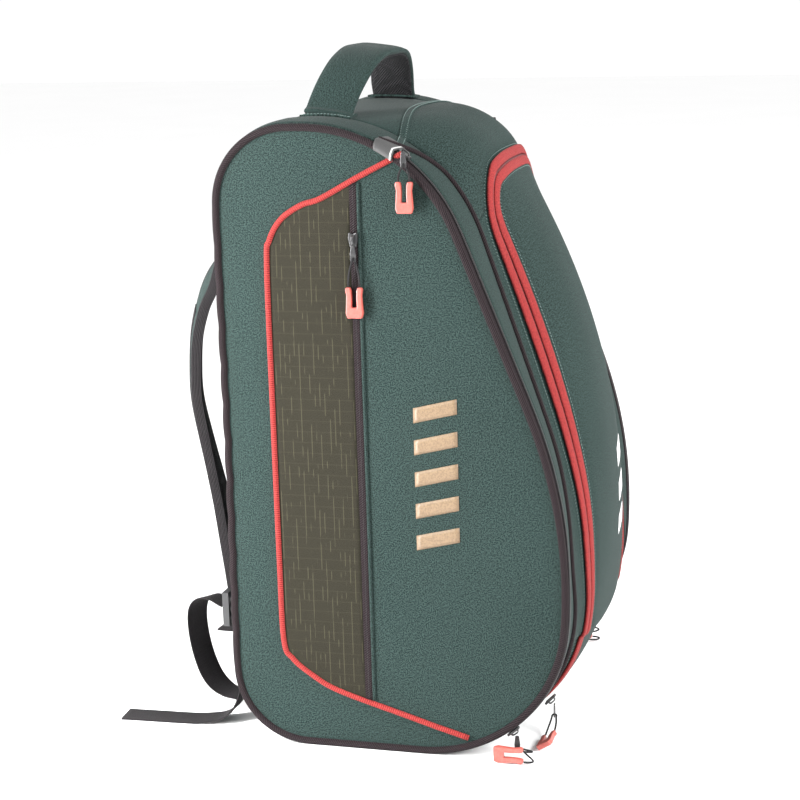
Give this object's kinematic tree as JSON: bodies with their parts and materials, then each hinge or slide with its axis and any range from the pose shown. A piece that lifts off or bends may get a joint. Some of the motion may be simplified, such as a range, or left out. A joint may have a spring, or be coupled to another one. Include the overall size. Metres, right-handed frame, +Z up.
{
  "type": "racket backpack",
  "caption": "Upright racket backpack with folding racket compartments at both sides, a domed zip-off front panel, padded shoulder straps and a carry handle.",
  "frame": {"origin": "middle of the bag's footprint at the surface that it stands on", "axes": "+Z up, -Y the front panel, +Y the wearer's back with the shoulder straps, X across the bag"},
  "size_m": [0.3344, 0.4412, 0.6103],
  "materials": {
    "green_fabric": "two-tone plain weave polyester",
    "olive_fabric": "dobby weave polyester",
    "air_mesh": "padded air mesh",
    "lining": "plain lining",
    "black_piping": "knitted tape over cord",
    "red_piping": "ribbed tape over cord",
    "red_tape": "woven zip tape",
    "zip_coil": "nylon coil on woven tape",
    "zip_metal": "black lacquer",
    "rubber_grip": "moulded translucent rubber",
    "pull_cord": "braided cord",
    "webbing": "ribbed webbing",
    "buckle_plastic": "moulded acetal",
    "label": "woven label"
  },
  "bodies": {
    "bag": {"back_panel": "air_mesh", "back_pads": "air_mesh", "center_shell": "green_fabric", "left_divider": "lining", "right_divider": "lining", "left_gusset": "green_fabric", "right_gusset": "green_fabric", "seam_pipings": "black_piping", "left_rear_panel": "green_fabric", "right_rear_panel": "green_fabric", "rear_pipings": "black_piping", "racket_zips": "zip_coil", "front_zip_frame": "red_tape", "strap_yoke": "green_fabric", "label_tab": "label", "handle_bases": "green_fabric", "corner_tabs": "webbing", "left_olive_panel": "olive_fabric", "right_olive_panel": "olive_fabric", "red_pipings": "red_piping", "pocket_zips": "zip_coil"},
    "front_door": {"front_panel": "green_fabric", "front_zip_flap": "red_tape"},
    "handle": {"handle": "green_fabric"},
    "front_slider": {"front_slider": "zip_metal"},
    "front_pull": {"front_pull": "rubber_grip", "front_cord": "pull_cord"},
    "left_flap": {"left_flap": "green_fabric", "left_flap_piping": "black_piping"},
    "left_strap": {"left_shoulder_strap": "green_fabric", "left_ladder_lock": "buckle_plastic", "left_lower_webbing": "webbing", "left_strap_tail": "webbing"},
    "left_top_slider": {"left_top_slider": "zip_metal"},
    "left_top_pull": {"left_top_pull": "rubber_grip", "left_top_cord": "pull_cord"},
    "left_low_slider": {"left_low_slider": "zip_metal"},
    "left_low_pull": {"left_low_pull": "rubber_grip", "left_low_cord": "pull_cord"},
    "left_pocket_slider": {"left_pocket_slider": "zip_metal"},
    "left_pocket_pull": {"left_pocket_pull": "rubber_grip", "left_pocket_cord": "pull_cord"},
    "right_flap": {"right_flap": "green_fabric", "right_flap_piping": "black_piping"},
    "right_strap": {"right_shoulder_strap": "green_fabric", "right_ladder_lock": "buckle_plastic", "right_lower_webbing": "webbing", "right_strap_tail": "webbing"},
    "right_top_slider": {"right_top_slider": "zip_metal"},
    "right_top_pull": {"right_top_pull": "rubber_grip", "right_top_cord": "pull_cord"},
    "right_low_slider": {"right_low_slider": "zip_metal"},
    "right_low_pull": {"right_low_pull": "rubber_grip", "right_low_cord": "pull_cord"},
    "right_pocket_slider": {"right_pocket_slider": "zip_metal"},
    "right_pocket_pull": {"right_pocket_pull": "rubber_grip", "right_pocket_cord": "pull_cord"}
  },
  "joints": [
    {"name": "front_panel_fold", "type": "hinge", "parent": "bag", "child": "front_door", "pos_m": [0, -0.1395, 0.0415], "axis": [1, 0, 0], "range_deg": [0, 60]},
    {"name": "handle_swing", "type": "hinge", "parent": "bag", "child": "handle", "pos_m": [0, 0.0405, 0.55], "axis": [1, 0, 0], "range_deg": [-35, 8]},
    {"name": "left_flap_fold", "type": "hinge", "parent": "bag", "child": "left_flap", "pos_m": [-0.1612, -0.1035, 0.018], "axis": [0, -0.1546, -0.988], "range_deg": [0, 60]},
    {"name": "left_strap_swing", "type": "hinge", "parent": "bag", "child": "left_strap", "pos_m": [-0.082, 0.1325, 0.25], "axis": [0, 0, 1], "range_deg": [-6, 6]},
    {"name": "left_top_zip", "type": "hinge", "parent": "left_flap", "child": "left_top_slider", "pos_m": [-0.149, 0.0495, 0.407], "axis": [1, 0, 0], "range_deg": [0, 28]},
    {"name": "left_low_zip", "type": "hinge", "parent": "left_flap", "child": "left_low_slider", "pos_m": [-0.149, -0.04244, 0.13], "axis": [-1, 0, 0], "range_deg": [0, 44]},
    {"name": "left_pocket_zip", "type": "slide", "parent": "bag", "child": "left_pocket_slider", "axis": [0, 0, -1], "range_m": [-0.036, 0.39]},
    {"name": "left_top_pull_swing", "type": "hinge", "parent": "left_top_slider", "child": "left_top_pull", "pos_m": [-0.1536, -0.04137, 0.52599], "axis": [0, 1, 0], "range_deg": [0, 60]},
    {"name": "left_low_pull_swing", "type": "hinge", "parent": "left_low_slider", "child": "left_low_pull", "pos_m": [-0.149, -0.12549, 0.01979], "axis": [0, 1, 0], "range_deg": [0, 45]},
    {"name": "left_pocket_pull_swing", "type": "hinge", "parent": "left_pocket_slider", "child": "left_pocket_pull", "pos_m": [-0.164, 0.0045, 0.449], "axis": [0, 1, 0], "range_deg": [0, 80]},
    {"name": "right_flap_fold", "type": "hinge", "parent": "bag", "child": "right_flap", "pos_m": [0.1612, -0.1035, 0.018], "axis": [0, 0.1546, 0.988], "range_deg": [0, 60]},
    {"name": "right_strap_swing", "type": "hinge", "parent": "bag", "child": "right_strap", "pos_m": [0.082, 0.1325, 0.25], "axis": [0, 0, 1], "range_deg": [-6, 6]},
    {"name": "right_top_zip", "type": "hinge", "parent": "right_flap", "child": "right_top_slider", "pos_m": [0.149, 0.0495, 0.407], "axis": [1, 0, 0], "range_deg": [0, 28]},
    {"name": "right_low_zip", "type": "hinge", "parent": "right_flap", "child": "right_low_slider", "pos_m": [0.149, -0.04244, 0.13], "axis": [-1, 0, 0], "range_deg": [0, 44]},
    {"name": "right_pocket_zip", "type": "slide", "parent": "bag", "child": "right_pocket_slider", "axis": [0, 0, -1], "range_m": [-0.036, 0.39]},
    {"name": "right_top_pull_swing", "type": "hinge", "parent": "right_top_slider", "child": "right_top_pull", "pos_m": [0.1536, -0.04137, 0.52599], "axis": [0, -1, 0], "range_deg": [0, 60]},
    {"name": "right_low_pull_swing", "type": "hinge", "parent": "right_low_slider", "child": "right_low_pull", "pos_m": [0.149, -0.12549, 0.01979], "axis": [0, -1, 0], "range_deg": [0, 45]},
    {"name": "right_pocket_pull_swing", "type": "hinge", "parent": "right_pocket_slider", "child": "right_pocket_pull", "pos_m": [0.164, 0.0045, 0.449], "axis": [0, -1, 0], "range_deg": [0, 80]},
    {"name": "front_zip", "type": "hinge", "parent": "bag", "child": "front_slider", "pos_m": [-0.085, -0.04244, 0.13], "axis": [-1, 0, 0], "range_deg": [0, 38]},
    {"name": "front_pull_swing", "type": "hinge", "parent": "front_slider", "child": "front_pull", "pos_m": [-0.085, -0.14568, 0.02676], "axis": [-1, 0, 0], "range_deg": [0, 60]}
  ]
}
